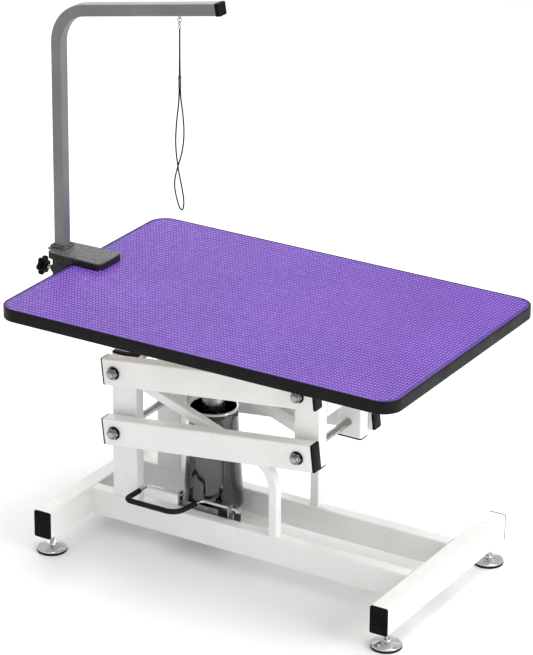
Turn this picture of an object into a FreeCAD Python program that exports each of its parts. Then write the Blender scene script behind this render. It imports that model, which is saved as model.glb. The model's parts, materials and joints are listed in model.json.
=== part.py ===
import FreeCAD, Part
import math
import os

from FreeCAD import Placement, Rotation, Vector

# Hydraulic pet grooming table with a clamp-on arm and noose.
# Millimetres, +X along the table, +Y to the back, +Z up, floor at Z = 0.
# The origin is on the floor under the middle of the overall length.

os.makedirs("parts", exist_ok=True)
doc = FreeCAD.newDocument("grooming_table")

# ---------------------------------------------------------------- driving sizes
SIZES = [
    ("table_length", 920, "table top over its edge trim"),
    ("table_width", 612, "table top over its edge trim"),
    ("table_top", 570, "height of the mat with the lift as drawn"),
    ("table_centre", 53.4, "X of the table's middle"),
    ("table_corner", 42, "plan radius of the table's corners"),
    ("trim_depth", 27, "height of the edge trim"),
    ("trim_wall", 3, "thickness of the edge trim"),
    ("mat_thick", 3, "rubber mat"),
    ("board_thick", 20, "plywood board"),
    ("tube_deep", 60, "long side of the frame tubes"),
    ("tube_wide", 30, "short side of the frame tubes"),
    ("tube_wall", 2, "wall of the frame tubes"),
    ("tube_round", 4, "outer corner radius of the frame tubes"),
    ("cap_thick", 4, "plastic tube caps"),
    ("rail_bottom", 42, "underside of the base frame"),
    ("rail_face", 100, "outer face of the rails, posts and uprights"),
    ("base_left", -339, "X of the left cross tube"),
    ("base_right", 466, "X of the right cross tube"),
    ("cross_wide", 40, "width of the cross tubes"),
    ("cross_reach", 253, "half length of the cross tubes over their caps"),
    ("post_centre", -232.6, "X of the fixed posts and their pivots"),
    ("post_top", 426, "top of the fixed post tubes"),
    ("lower_pivot", 264.5, "height of the lower fixed pivot"),
    ("upper_pivot", 400, "height of the upper fixed pivot"),
    ("arm_length", 443.7, "distance between an arm's pivots"),
    ("arm_tilt", 6.8, "upward tilt of the arms as drawn, degrees"),
    ("arm_tail", 26, "arm tube beyond its left pivot"),
    ("arm_nose", 33, "arm tube beyond its right pivot"),
    ("arm_inner", 107.5, "inner face of the arms"),
    ("axle_radius", 8, "pivot axles"),
    ("axle_fit", 0.05, "radial clearance of a running pivot"),
    ("open_fit", 0.8, "radial clearance of the upper right pivot"),
    ("upright_foot", 285, "lower end of the upright tubes"),
    ("upright_head", 514, "upper end of the upright tubes"),
    ("brace_size", 20, "square brace tube"),
    ("brace_foot", 126.2, "X of the vertical part of the braces"),
    ("brace_slope", 19.8, "slope of the braces, degrees"),
    ("brace_bend", 68, "bend radius of the brace's middle line"),
    ("brace_high", 369, "height where a brace meets its post"),
    ("foot_inset", 35, "foot to the end of its cross tube"),
    ("foot_radius", 32, "levelling foot"),
    ("pump_x", -75.4, "X of the pump's middle line"),
    ("skirt_low", 90, "lower edge of the pump cover"),
    ("skirt_high", 315, "upper edge of the pump cover"),
    ("skirt_wide", 64, "radius of the pump cover at its foot"),
    ("skirt_narrow", 51, "radius of the pump cover at its rim"),
    ("piston_radius", 14, "piston rod"),
    ("lift_reach", 158.3, "lift bar from the upper fixed pivot"),
    ("lift_radius", 12.5, "lift bar"),
    ("pedal_y", -69, "Y of the pedal's pivot line"),
    ("pedal_z", 125, "height of the pedal's pivot line"),
    ("pedal_front", -160, "Y of the pedal's foot bar"),
    ("pedal_rise", 131, "height of the pedal's foot bar"),
    ("pedal_rod", 3.5, "radius of the pedal rod"),
    ("pedal_grip", 5.75, "radius of the pedal's rubber sleeve"),
    ("clamp_y", 5, "Y of the clamp and the grooming arm"),
    ("arm_x", -454.4, "X of the grooming arm's post"),
    ("arm_size", 25, "square tube of the grooming arm"),
    ("arm_corner", 1106.7, "height where the arm's middle lines meet"),
    ("arm_slope", 9.7, "upward slope of the arm's top, degrees"),
    ("arm_bend", 82, "bend radius of the arm's middle line"),
    ("arm_foot", 430, "lower end of the arm's post"),
    ("arm_tip", -69, "X of the end of the arm's tube"),
    ("noose_x", -160.4, "X where the noose hangs"),
    ("cord_radius", 1.5, "noose cord"),
]

sheet = doc.addObject("Spreadsheet::Sheet", "Sizes")
for row, (alias, value, note) in enumerate(SIZES, start=1):
    sheet.set(f"A{row}", alias)
    sheet.set(f"B{row}", str(value))
    sheet.set(f"C{row}", note)
    sheet.setAlias(f"B{row}", alias)
doc.recompute()
S = {alias: float(sheet.get(alias)) for alias, value, note in SIZES}

X, Y, Z = Vector(1, 0, 0), Vector(0, 1, 0), Vector(0, 0, 1)
AXLE_REACH = S["arm_inner"] + S["tube_wide"]          # outer face of the arms
TABLE_UNDER = S["table_top"] - S["trim_depth"]        # lower edge of the trim
RAIL_TOP = S["rail_bottom"] + S["tube_deep"]
TILT = math.radians(S["arm_tilt"])
RIGHT_X = S["post_centre"] + S["arm_length"] * math.cos(TILT)
RISE = S["arm_length"] * math.sin(TILT)
parts = []


# ---------------------------------------------------------------- helpers
def keep(obj, label):
    """Mark obj as a finished sub-part: its label names its file."""
    obj.Label = label
    parts.append(obj)
    return obj


def bind(obj, **expressions):
    """Tie properties of obj to sheet text: $alias is a cell, and __ in a property name is a dot."""
    for prop, text in expressions.items():
        obj.setExpression(prop.replace("__", "."), text.replace("$", "Sizes."))
    return obj


def box(name, length, width, height, x, y, z):
    """A box with its low corner at x, y, z; every value is sheet text."""
    obj = doc.addObject("Part::Box", name)
    bind(obj, Length=length, Width=width, Height=height)
    bind(obj, Placement__Base__x=x, Placement__Base__y=y, Placement__Base__z=z)
    return obj


def rod(name, radius, length, start, direction):
    """A cylinder from start along direction; radius and length are sheet text."""
    obj = doc.addObject("Part::Cylinder", name)
    bind(obj, Radius=radius, Height=length)
    obj.Placement = Placement(start, Rotation(Z, direction))
    return obj


def cut(name, base, tools):
    """base with every tool taken away."""
    for index, tool in enumerate(tools):
        result = doc.addObject("Part::Cut", f"{name}_cut_{index}")
        result.Base, result.Tool = base, tool
        base = result
    doc.recompute()
    return base


def fuse(name, pieces):
    """One solid from several overlapping pieces."""
    result = doc.addObject("Part::MultiFuse", name)
    result.Shapes = pieces
    result.Refine = True
    doc.recompute()
    return result


def group(label, pieces):
    """Identical separate pieces that share one node."""
    result = doc.addObject("Part::Compound", label)
    result.Links = pieces
    doc.recompute()
    return keep(result, label)


def solid(name, shape):
    """A document object that holds a computed shape."""
    obj = doc.addObject("Part::Feature", name)
    obj.Shape = shape
    return obj


def round_long_edges(name, base, direction, radius):
    """Fillet the straight edges of base that run along direction."""
    doc.recompute()
    edges = []
    for index, edge in enumerate(base.Shape.Edges, start=1):
        run = edge.Vertexes[-1].Point - edge.Vertexes[0].Point
        if run.Length > 1 and run.normalize().isEqual(direction * (run * direction), 1e-6):
            edges.append((index, radius, radius))
    result = doc.addObject("Part::Fillet", name)
    result.Base = base
    result.Edges = edges
    doc.recompute()
    return result


def frame_tube(label, axis, centre, low, high, wide, deep="$tube_deep", bores=()):
    """A hollow rectangular tube along axis between two sheet values."""
    cx, cy, cz = centre
    span = f"({high}) - ({low})"
    inner_wide, inner_deep = f"{wide} - 2 * $tube_wall", f"{deep} - 2 * $tube_wall"

    def shape(name, across, tall, extra):
        start, run = f"({low}) - {extra}", f"{span} + {2 * extra}"
        if axis == X:
            return box(name, run, across, tall, start, f"({cy}) - ({across}) / 2", f"({cz}) - ({tall}) / 2")
        if axis == Y:
            return box(name, across, run, tall, f"({cx}) - ({across}) / 2", start, f"({cz}) - ({tall}) / 2")
        return box(name, tall, across, run, f"({cx}) - ({tall}) / 2", f"({cy}) - ({across}) / 2", start)

    outer = round_long_edges(label + "_outer", shape(label + "_box", wide, deep, 0), axis, S["tube_round"])
    inner = shape(label + "_bore", inner_wide, inner_deep, 1)
    return keep(cut(label, outer, [inner, *bores]), label)


def revolved(name, profile, centre):
    """A PartDesign body turned about the vertical through centre; profile is (radius, height)."""
    body = doc.addObject("PartDesign::Body", name)
    sketch = body.newObject("Sketcher::SketchObject", name + "_sketch")
    plane = [item for item in body.Origin.OriginFeatures if item.Role == "XZ_Plane"][0]
    sketch.AttachmentSupport = [(plane, "")]
    sketch.MapMode = "FlatFace"
    points = [Vector(radius, height, 0) for radius, height in profile]
    for start, end in zip(points, points[1:] + points[:1]):
        sketch.addGeometry(Part.LineSegment(start, end), False)
    turn = body.newObject("PartDesign::Revolution", name + "_turn")
    turn.Profile = sketch
    turn.ReferenceAxis = (sketch, ["V_Axis"])
    turn.Angle = 360
    body.Placement = Placement(centre, Rotation())
    doc.recompute()
    return body


def padded(name, edges, height, placement):
    """A PartDesign body padded from closed sketch edges by a sheet expression."""
    body = doc.addObject("PartDesign::Body", name)
    sketch = body.newObject("Sketcher::SketchObject", name + "_sketch")
    plane = [item for item in body.Origin.OriginFeatures if item.Role == "XY_Plane"][0]
    sketch.AttachmentSupport = [(plane, "")]
    sketch.MapMode = "FlatFace"
    for edge in edges:
        sketch.addGeometry(edge, False)
    pad = body.newObject("PartDesign::Pad", name + "_pad")
    pad.Profile = sketch
    bind(pad, Length=height)
    body.Placement = placement
    doc.recompute()
    return body


def rounded_rectangle(length, width, radius):
    """Sketch edges of a rectangle about the origin with rounded corners."""
    half_x, half_y = length / 2 - radius, width / 2 - radius
    edges = []
    corners = [(half_x, half_y, 0), (-half_x, half_y, 90), (-half_x, -half_y, 180), (half_x, -half_y, 270)]
    previous = None
    first = None
    for x, y, angle in corners:
        begin, end = math.radians(angle), math.radians(angle + 90)
        centre = Vector(x, y, 0)
        start_point = centre + Vector(math.cos(begin), math.sin(begin), 0) * radius
        if previous is None:
            first = start_point
        else:
            edges.append(Part.LineSegment(previous, start_point))
        edges.append(Part.ArcOfCircle(Part.Circle(centre, Z, radius), begin, end))
        previous = centre + Vector(math.cos(end), math.sin(end), 0) * radius
    edges.append(Part.LineSegment(previous, first))
    return edges


def hexagon(across_flats):
    """Sketch edges of a hexagon about the origin."""
    reach = across_flats / math.sqrt(3)
    points = [Vector(reach * math.cos(math.radians(60 * turn)), reach * math.sin(math.radians(60 * turn)), 0)
              for turn in range(6)]
    return [Part.LineSegment(start, end) for start, end in zip(points, points[1:] + points[:1])]


def bend_radius(route, index):
    """Arc radius at a corner of a cord: 0.45 of the shorter run over the tangent of half the turn."""
    before = route[index] - route[index - 1]
    after = route[index + 1] - route[index]
    return 0.45 * min(before.Length, after.Length) / math.tan(before.getAngle(after) / 2)


def path_wire(route, radii):
    """Straight runs joined by tangent arcs; radii has one value for each inner point."""
    edges = []
    last = route[0]
    for index, radius in enumerate(radii, start=1):
        corner = route[index]
        back = (route[index - 1] - corner).normalize()
        ahead = (route[index + 1] - corner).normalize()
        half_turn = (math.pi - back.getAngle(ahead)) / 2
        setback = radius * math.tan(half_turn)
        middle_way = (back + ahead).normalize()
        middle = corner + middle_way * (radius / math.cos(half_turn) - radius)
        start, end = corner + back * setback, corner + ahead * setback
        edges.append(Part.LineSegment(last, start).toShape())
        edges.append(Part.Arc(start, middle, end).toShape())
        last = end
    edges.append(Part.LineSegment(last, route[-1]).toShape())
    return Part.Wire(edges)


def swept(wire, profile):
    """A solid swept from a closed profile wire along a path."""
    shape = wire.makePipeShell([profile], True, True)
    return shape if shape.ShapeType == "Solid" else Part.Solid(shape)


def round_profile(radius, centre, direction):
    return Part.Wire(Part.Circle(centre, direction, radius).toShape())


def square_profile(size, corner, centre, direction, side=Y):
    """A rounded square wire about centre, across direction, one side along side."""
    other = direction.cross(side)
    half = size / 2 - corner
    edges = []
    previous = first = None
    turns = [(1, 1), (-1, 1), (-1, -1), (1, -1)]
    for index, (a, b) in enumerate(turns):
        hub = centre + side * (half * a) + other * (half * b)
        angles = [math.radians(90 * index + step) for step in (0, 45, 90)]
        points = [hub + (side * math.cos(t) + other * math.sin(t)) * corner for t in angles]
        if previous is None:
            first = points[0]
        else:
            edges.append(Part.LineSegment(previous, points[0]).toShape())
        edges.append(Part.Arc(*points).toShape())
        previous = points[2]
    edges.append(Part.LineSegment(previous, first).toShape())
    return Part.Wire(edges)


def square_tube(path, size, centre, direction):
    """A thin square tube along path, with rounded edges."""
    outer = swept(path, square_profile(size, THIN_ROUND, centre, direction))
    inner = swept(path, square_profile(size - 2 * THIN_WALL, THIN_ROUND - THIN_WALL / 2, centre, direction))
    return outer.cut(inner)


# ---------------------------------------------------------------- base frame
THIN_WALL = 1.5
THIN_ROUND = 2.5
RAIL_MIDDLE = "$rail_bottom + $tube_deep / 2"
POST_LINE = "$rail_face - $tube_wide / 2"
SIDES = (("front", -1), ("rear", 1))


def across_bore(name, x, z, clearance="$axle_fit"):
    """A long cylinder along Y that cuts an axle bore."""
    return rod(name, f"$axle_radius + {clearance}", "600", Vector(x, -300, z), Y)


for side, sign in SIDES:
    line = f"{sign} * ({POST_LINE})"
    frame_tube(f"{side}_base_rail", X, ("0", line, RAIL_MIDDLE),
               "$base_left + $cross_wide / 2", "$base_right - $cross_wide / 2", "$tube_wide")
    bores = [across_bore(f"{side}_post_bore_{name}", S["post_centre"], S[name])
             for name in ("lower_pivot", "upper_pivot")]
    frame_tube(f"{side}_left_post", Z, ("$post_centre", line, "0"),
               "$rail_bottom + $tube_deep", "$post_top", "$tube_wide", bores=bores)

for name, alias in (("left", "$base_left"), ("right", "$base_right")):
    frame_tube(f"{name}_cross_tube", Y, (alias, "0", RAIL_MIDDLE),
               "-$cross_reach + $cap_thick", "$cross_reach - $cap_thick", "$cross_wide")


def cap_plate(name, axis, centre, wide, deep, thick=None):
    """A tube cap: a rounded plate that closes the tube's end."""
    thick = S["cap_thick"] if thick is None else thick
    turn = {"x": Rotation(Y, 90), "y": Rotation(X, -90), "z": Rotation()}[axis]
    size = {"x": (deep, wide), "y": (wide, deep), "z": (deep, wide)}[axis]
    start = centre - turn.multVec(Z) * (thick / 2)
    return padded(name, rounded_rectangle(*size, S["tube_round"]), str(thick), Placement(start, turn))


base_caps = []
for end, base_x in (("left", S["base_left"]), ("right", S["base_right"])):
    for side, sign in SIDES:
        middle = Vector(base_x, sign * (S["cross_reach"] - S["cap_thick"] / 2),
                        S["rail_bottom"] + S["tube_deep"] / 2)
        base_caps.append(cap_plate(f"cap_{end}_{side}", "y", middle, S["cross_wide"], S["tube_deep"]))
for side, sign in SIDES:
    middle = Vector(S["post_centre"], sign * (S["rail_face"] - S["tube_wide"] / 2),
                    S["post_top"] + S["cap_thick"] / 2)
    base_caps.append(cap_plate(f"cap_post_{side}", "z", middle, S["tube_wide"], S["tube_deep"]))
group("base_tube_caps", base_caps)

# Each brace is one square tube: down a slope from the post, round a bend, upright on the rail.
SLOPE = math.radians(S["brace_slope"])
BRACE_INTO_POST = 12
for side, sign in SIDES:
    line_y = sign * (S["rail_face"] - S["tube_wide"] / 2)
    post_side = S["post_centre"] + S["tube_deep"] / 2
    drop = (S["brace_foot"] - post_side) * math.tan(SLOPE)
    corner = Vector(S["brace_foot"], line_y, S["brace_high"] - drop)
    way = Vector(math.cos(SLOPE), 0, -math.sin(SLOPE))
    start = Vector(post_side, line_y, S["brace_high"]) - way * BRACE_INTO_POST
    path = path_wire([start, corner, Vector(S["brace_foot"], line_y, RAIL_TOP)], [S["brace_bend"]])
    tube = square_tube(path, S["brace_size"], start, way)
    inside_post = Part.makeBox(60, 60, 120, Vector(post_side - 60, line_y - 30, S["brace_high"] - 60))
    keep(solid(f"{side}_brace", tube.cut(inside_post)), f"{side}_brace")

# ---------------------------------------------------------------- levelling feet
cones, pads, studs, lock_nuts = [], [], [], []
FOOT_HEIGHT = 19
STUD = 5
LOCK_NUT = 8
LOCK_NUT_FLATS = 17
for base_x in (S["base_left"], S["base_right"]):
    for side, sign in SIDES:
        place = Vector(base_x, sign * (S["cross_reach"] - S["foot_inset"]), 0)
        tag = f"{len(cones)}"
        wide = S["foot_radius"]
        cones.append(revolved("foot_cone_" + tag,
                              [(0, 5), (wide - 1, 5), (wide - 0.5, 7.5), (wide - 2, 9.5), (wide - 12, 13),
                               (STUD + 6, 16.5), (STUD + 5, FOOT_HEIGHT), (0, FOOT_HEIGHT)], place))
        pads.append(revolved("foot_pad_" + tag, [(0, 0), (wide - 1, 0), (wide, 1), (wide, 5), (0, 5)], place))
        studs.append(revolved("foot_stud_" + tag,
                              [(0, FOOT_HEIGHT), (STUD, FOOT_HEIGHT), (STUD, S["rail_bottom"]),
                               (0, S["rail_bottom"])], place))
        nut_at = Placement(place + Z * (S["rail_bottom"] - LOCK_NUT), Rotation())
        lock_nuts.append(padded("foot_nut_" + tag, hexagon(LOCK_NUT_FLATS) + [Part.Circle(Vector(), Z, STUD)],
                                str(LOCK_NUT), nut_at))
group("foot_cones", cones)
group("foot_pads", pads)
group("foot_studs", studs)
group("foot_lock_nuts", lock_nuts)

# ---------------------------------------------------------------- hydraulic pump
PLATE = 8
pump_centre = Vector(S["pump_x"], 0, 0)
keep(box("pump_plate", "220", "2 * ($rail_face - $tube_wide)", str(PLATE),
         "$pump_x - 100", "-($rail_face - $tube_wide)", "$rail_bottom"), "pump_plate")
PLATE_TOP = S["rail_bottom"] + PLATE
SKIRT_WALL = 2
low, high = S["skirt_low"], S["skirt_high"]
wide, narrow = S["skirt_wide"], S["skirt_narrow"]
FLANGE_RADIUS = wide - 6
BODY_RADIUS = wide - 10
BODY_TOP = low + 8
keep(revolved("pump_body",
              [(0, PLATE_TOP), (FLANGE_RADIUS, PLATE_TOP), (FLANGE_RADIUS, PLATE_TOP + 10),
               (BODY_RADIUS, low - 4), (BODY_RADIUS, BODY_TOP), (0, BODY_TOP)], pump_centre), "pump_body")
keep(revolved("pump_skirt",
              [(wide - SKIRT_WALL - 3, low), (wide - 4, low), (wide, low + 6), (narrow, high - 4),
               (narrow + 1.6, high - 2.5), (narrow + 1, high), (narrow - 1.6, high),
               (narrow - SKIRT_WALL, high - 4), (wide - SKIRT_WALL, low + 7),
               (wide - SKIRT_WALL - 3, low + 2)],
              pump_centre), "pump_skirt")
bore = S["piston_radius"] + S["axle_fit"]
CYLINDER_RADIUS, GLAND_RADIUS = 24, 27
GLAND_LOW, GLAND_TOP = 338, 351
BORE_FLOOR = low + 14
keep(revolved("pump_cylinder",
              [(0, BODY_TOP), (CYLINDER_RADIUS, BODY_TOP), (CYLINDER_RADIUS, GLAND_LOW),
               (GLAND_RADIUS, GLAND_LOW), (GLAND_RADIUS, GLAND_TOP - 3), (CYLINDER_RADIUS, GLAND_TOP),
               (bore, GLAND_TOP), (bore, BORE_FLOOR), (0, BORE_FLOOR)], pump_centre), "pump_cylinder")

# Bent-up bracket that carries the pedal: a web on the pump plate with two ears.
EAR_THICK, EAR_LOW, EAR_HIGH = 4, 104, 29
LEFT_EAR, RIGHT_EAR = "$pump_x - 40", "$pump_x + 82"
web = box("bracket_web", "135", "3", "64", "$pump_x - 43", "$pedal_y - 0.5", str(PLATE_TOP))
ears = [box(f"bracket_ear_{index}", str(EAR_THICK), "15", str(EAR_HIGH), text, "$pedal_y - 8", str(EAR_LOW))
        for index, text in enumerate((LEFT_EAR, RIGHT_EAR))]
ear_bore = rod("bracket_bore", "$pedal_rod + $axle_fit", "200",
               Vector(S["pump_x"] - 70, S["pedal_y"], S["pedal_z"]), X)
keep(cut("pedal_bracket", fuse("bracket_whole", [web, *ears]), [ear_bore]), "pedal_bracket")
keep(box("pedal_stop", "20", "5", "12", "$pump_x + 58", "$pedal_y - 6", str(EAR_LOW)), "pedal_stop")

# ---------------------------------------------------------------- axles
NUT_FLATS, NUT_THICK = 22, 10
WASHER_RADIUS, WASHER_THICK = 14.5, 2.2
SPACER_RADIUS = 15
SIDE_PLAY = 0.3
AXLE_END = AXLE_REACH + 14


def axle_set(name, x, heights):
    """Two axles, front to back, with a nut, an outer washer and a spacer washer at each end."""
    axles, washers, nuts = [], [], []
    bore = Part.Circle(Vector(), Z, S["axle_radius"])
    for level, z in heights:
        axle_at = Vector(x, -AXLE_END, z)
        axles.append(rod(f"axle_{name}_{level}", "$axle_radius", str(2 * AXLE_END), axle_at, Y))
        for side, sign in SIDES:
            tag = f"{name}_{level}_{side}"
            outward = Rotation(Z, Vector(0, sign, 0))
            washer_at = Placement(Vector(x, sign * (AXLE_REACH + SIDE_PLAY), z), outward)
            washers.append(padded(f"washer_{tag}", [Part.Circle(Vector(), Z, WASHER_RADIUS), bore],
                                  str(WASHER_THICK), washer_at))
            spacer_at = Placement(Vector(x, sign * S["rail_face"], z), outward)
            spacer_thick = S["arm_inner"] - S["rail_face"] - SIDE_PLAY
            washers.append(padded(f"spacer_{tag}", [Part.Circle(Vector(), Z, SPACER_RADIUS), bore],
                                  str(spacer_thick), spacer_at))
            nut_at = Placement(Vector(x, sign * (AXLE_REACH + SIDE_PLAY + WASHER_THICK), z), outward)
            nuts.append(padded(f"nut_{tag}", hexagon(NUT_FLATS) + [bore], str(NUT_THICK), nut_at))
    group(f"{name}_axles", axles)
    group(f"{name}_axle_washers", washers)
    group(f"{name}_axle_nuts", nuts)


axle_set("left", S["post_centre"], (("lower", S["lower_pivot"]), ("upper", S["upper_pivot"])))
axle_set("right", RIGHT_X, (("lower", S["lower_pivot"] + RISE), ("upper", S["upper_pivot"] + RISE)))

# ---------------------------------------------------------------- parallel arms
ARM_WAY = Vector(math.cos(TILT), 0, math.sin(TILT))
TILT_TURN = Rotation(Y, -S["arm_tilt"])


def tilted_arm(label, sign, pivot_z, right_fit):
    """A tube made level, bored at both pivots, then tilted about its left pivot."""
    low_y = S["arm_inner"] if sign > 0 else -AXLE_REACH
    outer = box(label + "_box", "$arm_tail + $arm_length + $arm_nose", "$tube_wide", "$tube_deep",
                "-$arm_tail", str(low_y), "-$tube_deep / 2")
    outer = round_long_edges(label + "_outer", outer, X, S["tube_round"])
    inner = box(label + "_inner", "$arm_tail + $arm_length + $arm_nose + 2", "$tube_wide - 2 * $tube_wall",
                "$tube_deep - 2 * $tube_wall", "-$arm_tail - 1", f"{low_y} + $tube_wall",
                "-$tube_deep / 2 + $tube_wall")
    bores = [across_bore(label + "_left_bore", 0, 0),
             across_bore(label + "_right_bore", S["arm_length"], 0, right_fit)]
    level = cut(label, outer, [inner, *bores])
    turned = solid(label, level.Shape.copy())
    turned.Placement = Placement(Vector(S["post_centre"], 0, pivot_z), TILT_TURN)
    return keep(turned, label)


def arm_caps(label, pivot_z):
    """The four end caps of one pair of arms."""
    caps = []
    ends = (("left", -S["arm_tail"] - S["cap_thick"]), ("right", S["arm_length"] + S["arm_nose"]))
    for side, sign in SIDES:
        middle_y = sign * (S["arm_inner"] + S["tube_wide"] / 2)
        for end, reach in ends:
            outline = rounded_rectangle(S["tube_deep"], S["tube_wide"], S["tube_round"])
            cap = padded(f"{label}_{side}_{end}", outline, "$cap_thick", Placement())
            start = Vector(S["post_centre"], middle_y, pivot_z) + ARM_WAY * reach
            cap.Placement = Placement(start, TILT_TURN.multiply(Rotation(Y, 90)))
            caps.append(cap)
    group(label, caps)


ARM_PAIRS = (("lower", S["lower_pivot"], "$axle_fit"), ("upper", S["upper_pivot"], "$open_fit"))
for level, pivot_z, fit in ARM_PAIRS:
    for side, sign in SIDES:
        tilted_arm(f"{side}_{level}_arm", sign, pivot_z, fit)
    arm_caps(f"{level}_arm_caps", pivot_z)

lift_centre = Vector(S["post_centre"], 0, S["upper_pivot"]) + ARM_WAY * S["lift_reach"]
keep(rod("lift_bar", "$lift_radius", "2 * $arm_inner", lift_centre - Y * S["arm_inner"], Y), "lift_bar")

# ---------------------------------------------------------------- lifting piston
SHOE = 8
SHOE_GAP = 2.4
shoe_top = lift_centre.z - S["lift_radius"] - SHOE_GAP
PISTON_FOOT = 145
piston_foot = Vector(S["pump_x"], 0, PISTON_FOOT)
keep(rod("piston_rod", "$piston_radius", str(shoe_top - SHOE - PISTON_FOOT), piston_foot, Z), "piston_rod")
SHOE_LONG, SHOE_LEFT = "92", "$pump_x - 58"
shoe = box("shoe_plate", SHOE_LONG, "60", str(SHOE), SHOE_LEFT, "-30", str(shoe_top - SHOE))
lips = [box(f"shoe_lip_{index}", SHOE_LONG, "5", "16", SHOE_LEFT, text, str(shoe_top - 16))
        for index, text in enumerate(("-35", "30"))]
keep(fuse("lift_shoe", [shoe, *lips]), "lift_shoe")

# ---------------------------------------------------------------- foot pedal
left_leg = S["pump_x"] - 120
right_leg = S["pump_x"] + 15
pivot_y, pivot_z = S["pedal_y"], S["pedal_z"]
front_y, front_z = S["pedal_front"], S["pedal_rise"]
pedal_route = [Vector(S["pump_x"] - 32, pivot_y, pivot_z), Vector(left_leg, pivot_y, pivot_z),
               Vector(left_leg + 3, front_y, front_z), Vector(right_leg - 7, front_y, front_z),
               Vector(right_leg, pivot_y, pivot_z), Vector(S["pump_x"] + 108, pivot_y, pivot_z)]
PEDAL_BENDS = [11, 17, 26, 11]
pedal_path = path_wire(pedal_route, PEDAL_BENDS)
keep(solid("pedal_rod", swept(pedal_path, round_profile(S["pedal_rod"], pedal_route[0], X))), "pedal_rod")


def along(start, end, distance):
    """The point at a distance from start on the way to end."""
    return start + (end - start).normalize() * distance


sleeve_route = [along(pedal_route[1], pedal_route[2], 34), pedal_route[2], pedal_route[3],
                along(pedal_route[4], pedal_route[3], 24)]
sleeve_path = path_wire(sleeve_route, PEDAL_BENDS[1:3])
sleeve_way = (sleeve_route[1] - sleeve_route[0]).normalize()
sleeve_tube = swept(sleeve_path, round_profile(S["pedal_grip"], sleeve_route[0], sleeve_way))
sleeve_hole = swept(sleeve_path, round_profile(S["pedal_rod"], sleeve_route[0], sleeve_way))
keep(solid("pedal_sleeve", sleeve_tube.cut(sleeve_hole)), "pedal_sleeve")
keep(padded("pedal_nut", hexagon(13) + [Part.Circle(Vector(), Z, S["pedal_rod"])], "7",
            Placement(Vector(S["pump_x"] + 100, pivot_y, pivot_z), Rotation(Z, X))), "pedal_nut")

# ---------------------------------------------------------------- moving frame
for side, sign in SIDES:
    line = f"{sign} * ({POST_LINE})"
    bores = [across_bore(f"{side}_upright_bore_{name}", RIGHT_X, S[name] + RISE)
             for name in ("lower_pivot", "upper_pivot")]
    frame_tube(f"{side}_upright", Z, (str(RIGHT_X), line, "0"), "$upright_foot", "$upright_head",
               "$tube_wide", bores=bores)
upright_caps = []
for side, sign in SIDES:
    cap_y = sign * (S["rail_face"] - S["tube_wide"] / 2)
    cap_middle = Vector(RIGHT_X, cap_y, S["upright_foot"] - S["cap_thick"] / 2)
    upright_caps.append(cap_plate(f"cap_upright_{side}", "z", cap_middle, S["tube_wide"], S["tube_deep"]))
group("upright_caps", upright_caps)
frame_tube("upright_cross_tube", Y, (f"{RIGHT_X} + 15", "0", "413"), "-$rail_face + $tube_wide",
           "$rail_face - $tube_wide", "$tube_wide", "50")


def top_tube(name, length, width, x, y):
    """A flat rectangular tube of the frame that is screwed under the board."""
    return box(name, length, width, str(TABLE_UNDER - S["upright_head"]), x, y, "$upright_head")


TOP_LEFT, TOP_RIGHT = -120, 400
top_rails = []
for side, sign in SIDES:
    low_y = S["rail_face"] - S["tube_wide"] if sign > 0 else -S["rail_face"]
    outer = top_tube(f"top_rail_{side}", str(TOP_RIGHT - TOP_LEFT), "$tube_wide", str(TOP_LEFT), str(low_y))
    hole = box(f"top_rail_hole_{side}", str(TOP_RIGHT - TOP_LEFT + 2), "$tube_wide - 2 * $tube_wall",
               f"{TABLE_UNDER} - $upright_head - 2 * $tube_wall", str(TOP_LEFT - 1),
               f"{low_y} + $tube_wall", "$upright_head + $tube_wall")
    top_rails.append(cut(f"top_rail_tube_{side}", outer, [hole]))
group("top_frame_rails", top_rails)
CROSS_HALF = 250
top_bars = []
for end, x in (("left", TOP_LEFT - 40), ("right", TOP_RIGHT)):
    outer = top_tube(f"top_bar_{end}", "40", str(2 * CROSS_HALF), str(x), str(-CROSS_HALF))
    hole = box(f"top_bar_hole_{end}", "40 - 2 * $tube_wall", str(2 * CROSS_HALF + 2),
               f"{TABLE_UNDER} - $upright_head - 2 * $tube_wall", f"{x} + $tube_wall", str(-CROSS_HALF - 1),
               "$upright_head + $tube_wall")
    top_bars.append(cut(f"top_bar_tube_{end}", outer, [hole]))
group("top_frame_crossbars", top_bars)

# ---------------------------------------------------------------- table top
board_place = Placement(Vector(S["table_centre"], 0, TABLE_UNDER), Rotation())
inner_length = S["table_length"] - 2 * S["trim_wall"]
inner_width = S["table_width"] - 2 * S["trim_wall"]
inner_corner = S["table_corner"] - S["trim_wall"]
board_outline = rounded_rectangle(inner_length, inner_width, inner_corner)
keep(padded("table_board", board_outline, "$trim_depth - $mat_thick", board_place), "table_board")
mat_place = Placement(Vector(S["table_centre"], 0, S["table_top"] - S["mat_thick"]), Rotation())
keep(padded("table_mat", board_outline, "$mat_thick", mat_place), "table_mat")
trim_outline = rounded_rectangle(S["table_length"], S["table_width"], S["table_corner"]) + board_outline
keep(padded("table_trim", trim_outline, "$trim_depth", board_place), "table_trim")
bolts = []
BOLT_TOP = S["upright_head"]
for x in (TOP_LEFT - 20, TOP_RIGHT + 20):
    for y in (-220, 220):
        bolt_profile = [(0, BOLT_TOP - 5), (6, BOLT_TOP - 5), (7, BOLT_TOP - 3), (7, BOLT_TOP), (0, BOLT_TOP)]
        bolts.append(revolved(f"table_bolt_{len(bolts)}", bolt_profile, Vector(x, y, 0)))
group("table_bolts", bolts)

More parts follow.
